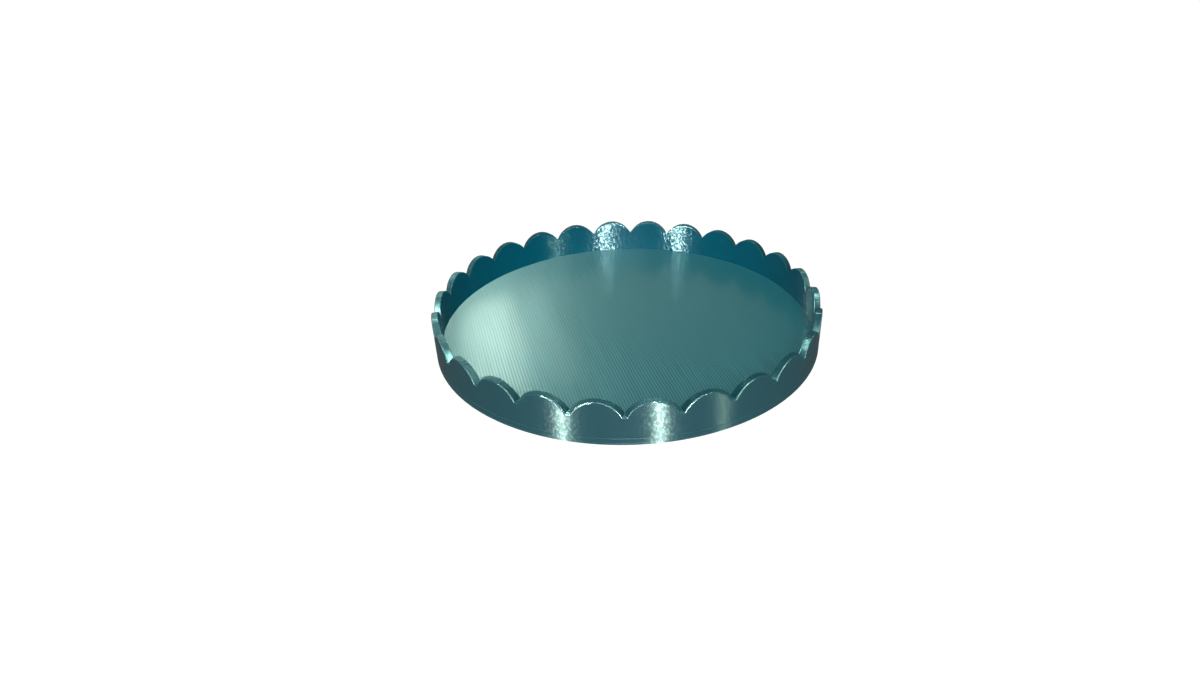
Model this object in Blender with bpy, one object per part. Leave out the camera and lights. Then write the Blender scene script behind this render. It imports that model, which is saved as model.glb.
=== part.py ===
"""Round trinket tray with a scalloped rim, printed in one piece from silk teal plastic.

The print has two regions. A perimeter wall runs from the table up to a rim of round lobes that meet in
notches, and a flat floor plate of straight infill lines fills the ring inside it.
Lengths are in metres and +Z is up. The origin is the middle of the foot, and one notch faces +Y.
"""
from math import atan2, cos, pi, radians, sin, tau

import bmesh
import bpy

# Overall sizes
OUTER_DIAMETER = 0.120        # across the outside of the wall, which stands straight up
WALL_HEIGHT = 0.01295         # foot to the top of each lobe
WALL_THICKNESS = 0.0020       # five lines of a 0.4 mm nozzle

# The scalloped rim. A lobe is a little narrower at the outside of the wall than at the inside, so a notch
# is a sharp V on the inside and opens to a flat bottom on the outside.
LOBE_COUNT = 26
NOTCH_DEPTH = 0.0040          # top of a lobe down to the sharp V
NOTCH_DROP = 0.0004           # the flat bottom lies this much lower than the V
NOTCH_WIDTH = 0.0012          # the flat bottom, along the outside
RIM_ROUNDING = 0.00035        # radius on both edges of the rim
RIM_ROUNDING_STEPS = 3
RIM_WALL_SHARE = 0.45         # the rim's rounding takes no more than this share of the wall
COLUMNS_PER_LOBE = 10         # flats along one lobe's arc
NOTCH_DIRECTION = radians(90)

# The foot and the floor
FOOT_CHAMFER = 0.0003         # the outer edge that stands on the table
FLOOR_THICKNESS = 0.0020
FLOOR_CLEARANCE = 0.0003      # between the floor plate's edge and the wall

# Finish
SILK_TEAL = (0.045, 0.205, 0.245, 1.0)
FLOOR_TEAL = (0.075, 0.265, 0.270, 1.0)
SILK_ROUGHNESS = 0.34
SILK_METALLIC = 0.45
SHARP_EDGE_ANGLE = radians(35)
WELD_DISTANCE = 0.000001      # corners closer than this are one

OUTER_RADIUS = OUTER_DIAMETER / 2
INNER_RADIUS = OUTER_RADIUS - WALL_THICKNESS
LOBE_ANGLE = tau / LOBE_COUNT
LOBE_COLUMNS = COLUMNS_PER_LOBE + 1    # one flat more crosses the bottom of the notch
COLUMN_COUNT = LOBE_COUNT * LOBE_COLUMNS


def clear_scene():
    """Start from an empty file."""
    for thing in list(bpy.data.objects):
        bpy.data.objects.remove(thing, do_unlink=True)


def silk_plastic(name, colour):
    """Satin plastic with a faint metallic shimmer."""
    material = bpy.data.materials.new(name)
    material.use_nodes = True
    shader = material.node_tree.nodes["Principled BSDF"]
    shader.inputs["Base Color"].default_value = colour
    shader.inputs["Roughness"].default_value = SILK_ROUGHNESS
    shader.inputs["Metallic"].default_value = SILK_METALLIC
    material.diffuse_color = colour
    return material


def rim_place(column, depth):
    """Direction round the tray and height of the rim at one column, this far behind the outer face."""
    lobe, step = divmod(column, LOBE_COLUMNS)
    outside_share = 1 - depth / WALL_THICKNESS
    radius = OUTER_RADIUS - depth

    # The lobe is one arc on the unrolled wall. Its chord is the lobe's width and its rise the notch depth.
    half_width = radius * LOBE_ANGLE / 2 - NOTCH_WIDTH / 2 * outside_share
    rise = NOTCH_DEPTH + NOTCH_DROP * outside_share
    arc_radius = (half_width ** 2 + rise ** 2) / (2 * rise)
    half_turn = 2 * atan2(rise, half_width)
    turn = half_turn * (2 * step / COLUMNS_PER_LOBE - 1)
    direction = NOTCH_DIRECTION + (lobe + 0.5) * LOBE_ANGLE + arc_radius * sin(turn) / radius
    return direction, WALL_HEIGHT - arc_radius * (1 - cos(turn))


def rim_section():
    """Depth behind the outer face and fall below the rim's height, from the outer face to the inner one."""
    radius = min(RIM_ROUNDING, RIM_WALL_SHARE * WALL_THICKNESS)
    turns = [pi / 2 * step / RIM_ROUNDING_STEPS for step in range(RIM_ROUNDING_STEPS + 1)]
    outside = [(radius * (1 - cos(turn)), radius * (1 - sin(turn))) for turn in turns]
    inside = [(WALL_THICKNESS - depth, fall) for depth, fall in reversed(outside)]
    return outside + inside


def scalloped_wall():
    """The perimeter ring: one closed section lofted round the tray, as high at each column as the rim."""
    foot = [(WALL_THICKNESS, 0), (FOOT_CHAMFER, 0), (0, FOOT_CHAMFER)]
    rim = rim_section()
    row_count = len(foot) + len(rim)

    # A flat grid, whose columns go round the tray and whose rows go round the section
    mesh = bmesh.new()
    bmesh.ops.create_grid(mesh, x_segments=COLUMN_COUNT, y_segments=row_count, size=OUTER_RADIUS)
    for vert in mesh.verts:
        column = round((vert.co.x / OUTER_DIAMETER + 0.5) * COLUMN_COUNT)
        row = round((vert.co.y / OUTER_DIAMETER + 0.5) * row_count) % row_count
        if row < len(foot):
            depth, height = foot[row]
            direction, _ = rim_place(column, depth)
        else:
            depth, fall = rim[row - len(foot)]
            direction, top = rim_place(column, depth)
            height = top - fall
        radius = OUTER_RADIUS - depth
        vert.co = (radius * cos(direction), radius * sin(direction), height)
    bmesh.ops.remove_doubles(mesh, verts=mesh.verts[:], dist=WELD_DISTANCE)
    bmesh.ops.recalc_face_normals(mesh, faces=mesh.faces[:])
    return mesh


def floor_plate():
    """The flat disc inside the wall, clear of it by the named clearance."""
    mesh = bmesh.new()
    radius = INNER_RADIUS - FLOOR_CLEARANCE
    bmesh.ops.create_cone(mesh, cap_ends=True, segments=COLUMN_COUNT, radius1=radius, radius2=radius,
                          depth=FLOOR_THICKNESS)
    bmesh.ops.translate(mesh, vec=(0, 0, FLOOR_THICKNESS / 2), verts=mesh.verts[:])
    return mesh


def add_part(name, mesh, material, collection, parent):
    """Put a finished bmesh in the tray's collection as one named object."""
    data = bpy.data.meshes.new(name)
    mesh.to_mesh(data)
    mesh.free()
    data.materials.append(material)
    data.shade_smooth()
    data.set_sharp_from_angle(angle=SHARP_EDGE_ANGLE)
    part = bpy.data.objects.new(name, data)
    part.parent = parent
    collection.objects.link(part)
    return part


clear_scene()
tray = bpy.data.collections.new("trinket_tray")
bpy.context.scene.collection.children.link(tray)
tray_origin = bpy.data.objects.new("tray_origin", None)
tray.objects.link(tray_origin)

add_part("scalloped_wall", scalloped_wall(), silk_plastic("wall_silk_teal", SILK_TEAL), tray, tray_origin)
add_part("floor_plate", floor_plate(), silk_plastic("floor_silk_teal", FLOOR_TEAL), tray, tray_origin)
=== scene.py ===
"""The looks of a scalloped trinket tray printed in silk teal plastic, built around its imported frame."""

from math import cos, floor, pi, radians, sin, sqrt, tau

import bmesh
import bpy
from mathutils import Matrix, Vector, noise


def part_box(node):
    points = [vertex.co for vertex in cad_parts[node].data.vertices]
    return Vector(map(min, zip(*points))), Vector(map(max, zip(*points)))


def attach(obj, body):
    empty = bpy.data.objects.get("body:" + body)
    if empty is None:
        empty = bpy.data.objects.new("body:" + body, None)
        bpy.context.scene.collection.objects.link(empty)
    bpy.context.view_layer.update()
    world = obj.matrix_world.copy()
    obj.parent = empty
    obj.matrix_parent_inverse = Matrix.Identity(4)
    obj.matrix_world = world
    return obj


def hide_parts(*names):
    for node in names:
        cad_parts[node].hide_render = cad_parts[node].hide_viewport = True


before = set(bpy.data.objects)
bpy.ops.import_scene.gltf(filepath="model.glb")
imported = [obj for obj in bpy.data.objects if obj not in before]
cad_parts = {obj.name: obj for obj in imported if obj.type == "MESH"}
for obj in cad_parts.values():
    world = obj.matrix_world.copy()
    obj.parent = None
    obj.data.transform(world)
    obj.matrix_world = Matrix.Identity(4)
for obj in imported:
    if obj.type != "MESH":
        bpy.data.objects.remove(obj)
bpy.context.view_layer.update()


# The wall. A printer laid it as rings of silk filament, one level layer on another, from the table up to
# the lobes. Above the notches each layer is 26 separate islands, so a lobe's slopes are fine steps. Each
# notch is a sharp V on the inside and opens to a flat bottom on the outside.
outer_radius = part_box("scalloped_wall")[1].x
wall_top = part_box("scalloped_wall")[1].z
floor_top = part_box("floor_plate")[1].z
wall_thickness = 0.0020
inner_radius = outer_radius - wall_thickness

lobe_count = 26
notch_depth = 0.0040          # top of a lobe down to the sharp V
notch_drop = 0.0004           # the flat bottom lies this much lower
notch_width = 0.0012          # the flat bottom, along the outside
notch_direction = radians(90)

layer_height = 0.0002
layer_count = round((notch_depth + notch_drop) / layer_height)
layer_edge = 0.00004          # how far a layer's edge is rounded over
soft_edged_layers = 8         # the wide steps near a lobe's top show their rounded edges
island_corner = 0.00025       # radius of an island's outer corners seen from above
rim_rounding = 0.00028
rounding_shares = (0.0, 0.1, 0.35, 0.65, 1.0)
band_under_rounding = 0.00004
layers_under_notches = 2      # full rings between the notches and the plain part of the wall
bead_width = 0.0004           # one line of filament across the top of the wall
bead_groove = 0.00003
foot_edge = 0.00012
foot_line = 0.0006            # height of the fine line round the foot
line_groove = 0.00006         # depth and half width of the lines round the foot and at the floor's level
weld = 0.000001
wall_crease = radians(35)


def lobe_corners():
    """Layer, sideways shift and height of each corner of a lobe's steps, from its top to its notch."""
    corners = [(-1, 0.0, wall_top)]
    for layer in range(layer_count):
        level = wall_top - layer * layer_height
        if layer < soft_edged_layers:
            corners.append((layer, -layer_edge, level))
            corners.append((layer, 0.0, level - layer_edge))
        else:
            corners.append((layer, -layer_edge / 2, level))
        corners.append((layer, layer_edge / 4, level - layer_height))
    corners.append((layer_count, 0.0, wall_top - layer_count * layer_height))
    return corners


def rim_corner(layer, shift, level, depth):
    """Distance from the lobe's middle and height of one corner, this far behind the wall's outer face."""
    outside_share = 1 - depth / wall_thickness
    half_width = (outer_radius - depth) * pi / lobe_count - notch_width / 2 * outside_share
    rise = notch_depth + notch_drop * outside_share
    arc_radius = (half_width ** 2 + rise ** 2) / (2 * rise)
    fallen = (layer + 0.5) * layer_height
    if layer < 0:
        return 0.0, level
    if fallen > rise:
        return half_width, wall_top - round(rise / layer_height) * layer_height
    corner = max(island_corner - depth, 0)
    drawn_in = island_corner - sqrt(island_corner ** 2 - corner ** 2)
    return sqrt(arc_radius ** 2 - (arc_radius - fallen) ** 2) + shift - drawn_in, level


def rim_fall(depth):
    """How far the wall's top lies below a layer's level: rounded at its faces, grooved between beads."""
    near = min(depth, wall_thickness - depth)
    if near < rim_rounding:
        return rim_rounding - sqrt(rim_rounding ** 2 - (rim_rounding - near) ** 2)
    across = depth / bead_width % 1
    return bead_groove * (2 * across - 1) ** 2


def wall_section():
    """Depth behind the outer face, height and whether the height counts down from the rim, once round."""
    face_top = wall_top - (layer_count + layers_under_notches) * layer_height
    face_band = rim_rounding + band_under_rounding
    rows = [(foot_edge, 0.0, False), (0.0, foot_edge, False)]
    for line in (foot_line, floor_top):
        rows += [(0.0, line - line_groove, False), (line_groove, line, False)]
        rows.append((0.0, line + line_groove, False))
    rounding = [rim_rounding * share for share in rounding_shares]
    depths = list(rounding)
    for bead in range(1, round(wall_thickness / bead_width) - 1):
        depths += [bead * bead_width, (bead + 0.5) * bead_width]
    depths.append(wall_thickness - bead_width)
    depths += [wall_thickness - depth for depth in reversed(rounding)]
    rows += [(0.0, face_top, False), (0.0, face_band, True)]
    rows += [(depth, rim_fall(depth), True) for depth in depths]
    rows += [(wall_thickness, face_band, True), (wall_thickness, face_top, False)]
    rows += [(wall_thickness, floor_top, False), (wall_thickness, 0.0, False)]
    return rows


corners = lobe_corners()
section = wall_section()
columns = [(-1, corner) for corner in reversed(corners)] + [(1, corner) for corner in corners[1:]]
column_count = lobe_count * len(columns)

# The material reads two values off the mesh: how far a place is behind the outer face, and whether it is
# on the rim.
mesh = bmesh.new()
rim_share = mesh.verts.layers.float.new("rim")
depth_share = mesh.verts.layers.float.new("depth")
bmesh.ops.create_grid(mesh, x_segments=column_count, y_segments=len(section), size=0.5)
for vert in mesh.verts:
    lobe, column = divmod(round((vert.co.x + 0.5) * column_count), len(columns))
    depth, height, below_rim = section[round((vert.co.y + 0.5) * len(section)) % len(section)]
    side, corner = columns[column]
    along, level = rim_corner(*corner, depth)
    vert[depth_share] = depth / wall_thickness
    if below_rim:
        height = level - height
        vert[rim_share] = min(1.0, min(depth, wall_thickness - depth) / rim_rounding)
    radius = outer_radius - depth
    direction = notch_direction + (lobe + 0.5) * tau / lobe_count + side * along / radius
    vert.co = (radius * cos(direction), radius * sin(direction), height)
bmesh.ops.remove_doubles(mesh, verts=mesh.verts[:], dist=weld)
bmesh.ops.recalc_face_normals(mesh, faces=mesh.faces[:])


def piece_of(name, mesh, crease, slot, *nodes):
    """Make a finished bmesh a smooth-shaded piece of the tray that stands for CAD nodes."""
    data = bpy.data.meshes.new(name)
    mesh.to_mesh(data)
    mesh.free()
    data.shade_smooth()
    data.set_sharp_from_angle(angle=crease)
    piece = bpy.data.objects.new(name, data)
    bpy.context.scene.collection.objects.link(piece)
    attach(piece, "root")
    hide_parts(*nodes)
    return piece


wall = piece_of("printed_wall", mesh, wall_crease, "wall_silk_teal", "scalloped_wall")


class Signal:
    """A socket among a material's nodes. Sums on it add Math nodes."""

    def __init__(self, tree, socket=None):
        self.tree = tree
        self.socket = socket

    def node(self, kind, settings, sockets, output=0):
        """Add a node: its settings first, then a value or a link for each of its sockets."""
        made = self.tree.nodes.new("ShaderNode" + kind)
        for name, value in settings.items():
            setattr(made, name, value)
        for name, value in sockets.items():
            self.feed(made.inputs[name], value)
        return Signal(self.tree, made.outputs[output] if made.outputs else None)

    def feed(self, target, value):
        """Link a signal to a socket, or set the socket's own value."""
        if isinstance(value, Signal):
            self.tree.links.new(value.socket, target)
        else:
            target.default_value = value

    def maths(self, operation, *values):
        return self.node("Math", {"operation": operation}, dict(enumerate(values)))

    def ramp(self, low, high, start=0.0, end=1.0):
        """Go smoothly from start to end while this signal goes from low to high."""
        return self.node("MapRange", {"interpolation_type": "SMOOTHSTEP"},
                         {0: self, 1: low, 2: high, 3: start, 4: end})

    def blend(self, first, second):
        """Mix two colours by this signal."""
        return self.node("Mix", {"data_type": "RGBA"}, {0: self, 6: first, 7: second}, output=2)

    def grain(self, scale, detail):
        """Noise at this place, with its own scale along each axis."""
        scaled = self.node("VectorMath", {"operation": "MULTIPLY"}, {0: self, 1: scale})
        return self.node("TexNoise", {}, {"Vector": scaled, "Scale": 1.0, "Detail": detail})

    def __add__(self, other):
        return self.maths("ADD", self, other)

    def __radd__(self, other):
        return self.maths("ADD", other, self)

    def __sub__(self, other):
        return self.maths("SUBTRACT", self, other)

    def __rsub__(self, other):
        return self.maths("SUBTRACT", other, self)

    def __mul__(self, other):
        return self.maths("MULTIPLY", self, other)


def silk(name, constants):
    """A Principled material with these constants on its sockets, and a signal to build its nodes from."""
    material = bpy.data.materials.new(name)
    material.use_nodes = True
    shader = material.node_tree.nodes["Principled BSDF"]
    for socket, value in constants.items():
        shader.inputs[socket].default_value = value
    return material, shader, Signal(material.node_tree)


# The wall's plastic is brushed level by its layers, so a lamp draws an upright streak on it. Fine relief
# and flecks of roughness break the streaks up, more so on the inside.
# The outer tint is lighter and warmer than the inner one: painted sheen, standing in for the table's
# reflection on the outside.
outer_tint_with_sheen = (0.044, 0.156, 0.202, 1)
inner_tint = (0.000, 0.116, 0.190, 1)
# The rim's top has a darker tint of its own: painted shade on the top of the wall.
shaded_rim_tint = (0.010, 0.088, 0.115, 1)
outer_relief, inner_relief = 0.008, 0.062
relief_height = 0.001
wall_metallic, rim_metallic = 0.16, 0.24
wall_roughness, rim_roughness = 0.21, 0.22
outer_fleck, inner_fleck = 0.06, 0.08
inner_polish = 0.095
wobble_scale = (900.0, 900.0, 1300.0)
fleck_scale = (1500.0, 1500.0, 1000.0)
fleck_low, fleck_high = 0.44, 0.62

wall_material, shader, start = silk("silk_wall", {
    "Specular IOR Level": 0.45,
    "Anisotropic": 1.0,
    "Anisotropic Rotation": 0.25,
})
place = start.node("TexCoord", {}, {}, output="Object")
inside = start.node("Attribute", {"attribute_name": "depth"}, {}, output="Fac")
rim = start.node("Attribute", {"attribute_name": "rim"}, {}, output="Fac")
wobble = place.grain(wobble_scale, 2.0)
fleck = place.grain(fleck_scale, 2.0).ramp(fleck_low, fleck_high)
relief = wobble * (outer_relief + inside * inner_relief)
bump = start.node("Bump", {}, {"Height": relief, "Strength": 1.0, "Distance": relief_height})
start.feed(shader.inputs["Normal"], bump)
# The base colour holds painted sheen on the outer face and painted shade on the rim's top.
start.feed(shader.inputs["Base Color"], rim.blend(inside.blend(outer_tint_with_sheen, inner_tint), shaded_rim_tint))
start.feed(shader.inputs["Metallic"], wall_metallic + rim * rim_metallic)
start.feed(shader.inputs["Roughness"], wall_roughness + fleck * outer_fleck
           + inside * (fleck * inner_fleck - inner_polish) + rim * rim_roughness)
wall.data.materials.append(wall_material)


# The seam, of the wall's own plastic. Each layer starts and ends at one place on the inside of the back
# wall, which drifts sideways as the wall grows. That leaves two low ridges with a groove between them.
seam_top, seam_foot = radians(77.1), radians(74.9)
seam_height = 0.0093
seam_sunk = 0.0001            # how far it runs on below the floor
seam_section = [              # sideways and proud of the wall
    (-0.0011, -0.00005), (-0.0009, 0.00010), (-0.0007, 0.00022), (-0.0005, 0.00008), (-0.0001, 0.00001),
    (0.0003, 0.00002), (0.0006, 0.00016), (0.0009, 0.00028), (0.0012, 0.00010), (0.0014, -0.00005)]
seam_rows = 36
seam_drift = 0.00008
ridge_scale, drift_scale_up = 900, 1500
foot_fade, foot_height, top_fade = 6, 0.5, 8      # how fast and from what share the ridges rise and end
seam_crease = radians(60)

mesh = bmesh.new()
depth_share = mesh.verts.layers.float.new("depth")
bmesh.ops.create_grid(mesh, x_segments=len(seam_section) - 1, y_segments=seam_rows, size=1.0)
for vert in mesh.verts:
    sideways, proud = seam_section[round((vert.co.x + 1) / 2 * (len(seam_section) - 1))]
    share = (vert.co.y + 1) / 2
    height = floor_top - seam_sunk + share * (seam_height - floor_top)
    drift = seam_drift * noise.noise(Vector((sideways * ridge_scale, height * drift_scale_up, 0.5)))
    vert[depth_share] = 1.0
    direction = seam_foot + share * (seam_top - seam_foot) - (sideways + drift) / inner_radius
    ends = min(1.0, foot_fade * share + foot_height, top_fade * (1 - share))
    uneven = 1 + noise.noise(Vector((sideways * ridge_scale, height * ridge_scale, 4.5)))
    radius = inner_radius - proud * ends * uneven
    vert.co = (radius * cos(direction), radius * sin(direction), height)
seam = piece_of("print_seam", mesh, seam_crease, "wall_silk_teal")
seam.data.materials.append(wall_material)


# The floor. Straight lines of the same filament side by side fill the ring, every second one laid the
# other way, so the lines show in pairs. The pairs' grooves are real, each line waves a little, and the
# lines are pressed flat round the middle.
line_pair = 0.00086
line_direction = radians(17.7)     # across the lines, from +X
deep_groove, shallow_groove = 0.000016, 0.000006
groove_side = deep_groove * 0.35
pair_shares = [(0.0, deep_groove), (0.07, groove_side), (0.17, 0.0), (0.41, 0.0),
               (0.5, shallow_groove), (0.59, 0.0), (0.83, 0.0), (0.93, groove_side)]
groove_wave = 0.3             # share of a groove's depth
line_wave = 0.000002
wave_width, wave_length = 0.0009, 0.012
pressed_flat = (0.030, 0.020, floor_top)
pressed_near, pressed_far = 0.033, 0.062
least_shown = 0.1
floor_overlap = 0.00002       # how far its top runs into the wall
floor_reach = inner_radius + floor_overlap
floor_rows = 24
floor_weld = 0.0000005
floor_crease = radians(60)
pair_count = floor(floor_reach / line_pair)
stations = [(pair + share) * line_pair
            for pair in range(-pair_count, pair_count) for share, _ in pair_shares]
stations = [-floor_reach] + stations + [pair_count * line_pair, floor_reach]

mesh = bmesh.new()
bmesh.ops.create_grid(mesh, x_segments=len(stations) - 1, y_segments=floor_rows, size=1.0)
for vert in mesh.verts:
    row = round((vert.co.x + 1) / 2 * (len(stations) - 1))
    across = stations[row]
    along = vert.co.y * sqrt(floor_reach ** 2 - across ** 2)
    groove = pair_shares[(row - 1) % len(pair_shares)][1]
    wave = noise.noise(Vector((across / wave_width, along / wave_length, 0.5)))
    spot = Matrix.Rotation(line_direction, 3, "Z") @ Vector((across, along, floor_top))
    away = (spot - Vector(pressed_flat)).length
    shown = min(1.0, max(least_shown, (away - pressed_near) / (pressed_far - pressed_near)))
    height = floor_top - shown * groove * (1 + groove_wave * wave) - line_wave * (1 + wave)
    vert.co = (across, along, height)
bmesh.ops.remove_doubles(mesh, verts=mesh.verts[:], dist=floor_weld)
edge = [side for side in mesh.edges if side.is_boundary]
sides = bmesh.ops.extrude_edge_only(mesh, edges=edge)["geom"]
lower = [item for item in sides if isinstance(item, bmesh.types.BMVert)]
for vert in lower:
    vert.co.z = 0
    vert.co.xy *= inner_radius / floor_reach
edge = [side for side in mesh.edges if side.is_boundary]
under = bmesh.ops.extrude_edge_only(mesh, edges=edge)["geom"]
bmesh.ops.pointmerge(mesh, verts=[item for item in under if isinstance(item, bmesh.types.BMVert)],
                     merge_co=(0, 0, 0))
bmesh.ops.rotate(mesh, cent=(0, 0, 0), matrix=Matrix.Rotation(line_direction, 3, "Z"),
                 verts=mesh.verts[:])
bmesh.ops.recalc_face_normals(mesh, faces=mesh.faces[:])

tray_floor = piece_of("printed_floor", mesh, floor_crease, "floor_silk_teal", "floor_plate")

# Its colour is paler on the crests of the lines and darker in their grooves, which is painted light and
# painted shade, and streaked along them. Both are plain where the lines are pressed flat and at the left
# end.
groove_shade_tint = (0.004, 0.088, 0.118, 1)
crest_light_tint = (0.017, 0.182, 0.222, 1)
left_end, left_start = -0.050, -0.026
least_shown_left = 0.2
crest_shading_share, strand_share, grain_share = 1.5, 1.5, 0.25
floor_roughness, roughness_change = 0.38, 0.02
grain_scale = 1600.0
strand_scale = (1300.0, 40.0, 0.0)      # across the lines, along them and up

floor_material, shader, start = silk("silk_floor", {
    "Metallic": 0.22,
    "Specular IOR Level": 0.5,
    "Coat Weight": 0.19,
    "Coat Roughness": 0.12,
})
place = start.node("TexCoord", {}, {}, output="Object")
across = start.node("VectorMath", {"operation": "DOT_PRODUCT"}, {
    0: place, 1: (cos(line_direction), sin(line_direction), 0.0)}, output=1)
phase = across * (tau / line_pair)
lit_crest = phase.maths("COSINE", phase) * -0.5 + 0.5
grain = start.node("TexNoise", {}, {"Vector": place, "Scale": grain_scale, "Detail": 1.0})
turned = start.node("VectorRotate", {"rotation_type": "Z_AXIS"}, {
    "Vector": place, "Angle": -line_direction})
strand = turned.grain(strand_scale, 1.0)
away = start.node("VectorMath", {"operation": "DISTANCE"}, {0: place, 1: pressed_flat}, output=1)
leftward = start.node("SeparateXYZ", {}, {0: place}, output="X")
shown = (away.ramp(pressed_near, pressed_far, least_shown)
         * leftward.ramp(left_end, left_start, least_shown_left))
share = (0.5 + shown * (lit_crest - 0.5) * crest_shading_share + shown * (strand - 0.5) * strand_share
         + (grain - 0.5) * grain_share)
# The base colour holds painted light on the crests of the lines and painted shade in their grooves.
start.feed(shader.inputs["Base Color"], share.blend(groove_shade_tint, crest_light_tint))
start.feed(shader.inputs["Roughness"],
           floor_roughness - lit_crest * roughness_change + grain * roughness_change)
tray_floor.data.materials.append(floor_material)


# The table that the tray stands on: a wide plain sheet that keeps the soft shadow. To the camera it is
# white, and it glows more away from the tray, where less light falls on it. To the tray it is dull.
table_radius = 6.0
table_sides = 64
table_drop = 0.00005
dull, pale = (0.12, 0.12, 0.12, 1), (0.32, 0.32, 0.32, 1)
glow_near, glow_far = 0.12, 0.60
least_glow = 0.77

mesh = bmesh.new()
bmesh.ops.create_circle(mesh, cap_ends=True, segments=table_sides, radius=table_radius)
bmesh.ops.translate(mesh, vec=(0, 0, -table_drop), verts=mesh.verts[:])
data = bpy.data.meshes.new("table")
mesh.to_mesh(data)
mesh.free()
table = bpy.data.objects.new("table", data)
bpy.context.scene.collection.objects.link(table)

table_material = bpy.data.materials.new("pale_table")
table_material.use_nodes = True
tree = table_material.node_tree
tree.nodes.clear()
start = Signal(tree)
seen = start.node("LightPath", {}, {}, output="Is Camera Ray")
place = start.node("TexCoord", {}, {}, output="Object")
away = start.node("VectorMath", {"operation": "LENGTH"}, {0: place}, output=1)
paper = start.node("BsdfDiffuse", {}, {"Color": seen.blend(dull, pale)})
glow = start.node("Emission", {}, {
    "Color": (1, 1, 1, 1), "Strength": seen * away.ramp(glow_near, glow_far, least_glow)})
surface = start.node("AddShader", {}, {0: paper, 1: glow})
start.node("OutputMaterial", {}, {"Surface": surface})
data.materials.append(table_material)


# Light. The room is dim, and white to the camera. What the tray mirrors of it is brighter in the middle
# and on the left than on the right, so the floor ends in a deeper blue on the right.
room_level = 0.16
room_tint = (0.86, 1, 0.95, 1)
mirrored_level, mirrored_tint = 0.46, (0.82, 1, 0.84, 1)
mirrored_middle, mirrored_right = 0.12, 0.24

world = bpy.data.worlds.new("pale_room")
bpy.context.scene.world = world
world.use_nodes = True
start = Signal(world.node_tree)
room = world.node_tree.nodes["Background"]
seen = start.node("LightPath", {}, {}, output="Is Camera Ray")
mirrored = start.node("LightPath", {}, {}, output="Is Glossy Ray")
towards = start.node("TexCoord", {}, {}, output="Generated")
rightward = start.node("SeparateXYZ", {}, {0: towards}, output="X")
pale_side = rightward.ramp(mirrored_middle, mirrored_right, mirrored_level, 0.0)
start.feed(room.inputs["Color"], seen.blend(mirrored.blend(room_tint, mirrored_tint), (1, 1, 1, 1)))
start.feed(room.inputs["Strength"], room_level + seen * (1 - room_level) + mirrored * pale_side)


def lamp(name, heading, elevation, distance, size, power, colour):
    """A rectangular lamp aimed at the tray. Heading is in degrees from the front, towards the right."""
    data = bpy.data.lights.new(name, "AREA")
    data.shape = "RECTANGLE"
    data.size, data.size_y = size
    data.energy = power
    data.color = colour
    turn, rise = radians(heading), radians(elevation)
    away = Vector((sin(turn) * cos(rise), -cos(turn) * cos(rise), sin(rise)))
    light = bpy.data.objects.new(name, data)
    light.location = away * distance
    light.rotation_euler = away.to_track_quat("Z", "Y").to_euler()
    bpy.context.scene.collection.objects.link(light)
    return light


# A wide soft ceiling panel and a key in front light the tray.
lamp("ceiling", 0, 72, 1.5, (1.0, 0.8), 12.5, (1.0, 1.0, 0.97)).visible_glossy = False
lamp("key", 4, 34, 1.2, (0.50, 0.35), 7.5, (1.0, 1.0, 0.95))

# The others only draw sheen: a window behind lays its glare across the left of the floor, and low upright
# strips in front draw the streaks on the wall, two of them inside a wider, softer glow.
lamp_distance = 1.2
strip_elevation = 4.5
strip_size, glow_size = (0.02, 0.18), (0.12, 0.18)
strip_power, glow_power = 60.0, 2.4
left_heading, right_heading = -33, 15.7
cool_white = (1.0, 1.0, 0.78)
sheens = [lamp("window", -164.2, 31.0, lamp_distance, (0.04, 0.18), 1.8, (0.78, 1.0, 0.82))]
for name, heading, size, power, colour in (
        ("strip_left", left_heading, strip_size, strip_power, cool_white),
        ("strip_right", right_heading, strip_size, strip_power, cool_white),
        ("glow_left", left_heading, glow_size, glow_power, cool_white),
        ("glow_right", right_heading, glow_size, glow_power, cool_white),
        ("strip_side", 48.7, glow_size, 10.0, (0.95, 1.0, 0.66))):
    sheens.append(lamp(name, heading, strip_elevation, lamp_distance, size, power, colour))
for sheen in sheens:
    sheen.visible_diffuse = False
    sheen.data.use_shadow = False

# Sampled directly, the window would throw the lobes' shadow across its own glare.
bpy.data.lights["window"].cycles.use_multiple_importance_sampling = False


# The camera stands where the photograph was taken from, with the same crop of a wide lens.
photo_width, photo_height = 1200, 675
focal_px = 748.985
centre_px = (651.32, 320.41)
camera_place = (0.00531, -0.20976, 0.11986)
heading, tilt, roll = 0.0094, 0.5101, -0.0071
camera_data = bpy.data.cameras.new("camera")
camera_data.sensor_width = 36.0
camera_data.lens = camera_data.sensor_width * focal_px / photo_width
camera_data.shift_x = (photo_width / 2 - centre_px[0]) / photo_width
camera_data.shift_y = (centre_px[1] - photo_height / 2) / photo_width
camera_data.clip_start = 0.01
camera = bpy.data.objects.new("camera", camera_data)
camera.matrix_world = (Matrix.Translation(camera_place) @ Matrix.Rotation(-heading, 4, "Z")
                       @ Matrix.Rotation(pi / 2 - tilt, 4, "X") @ Matrix.Rotation(roll, 4, "Z"))
bpy.context.scene.collection.objects.link(camera)
bpy.context.scene.camera = camera
bpy.context.scene.view_settings.view_transform = "Standard"
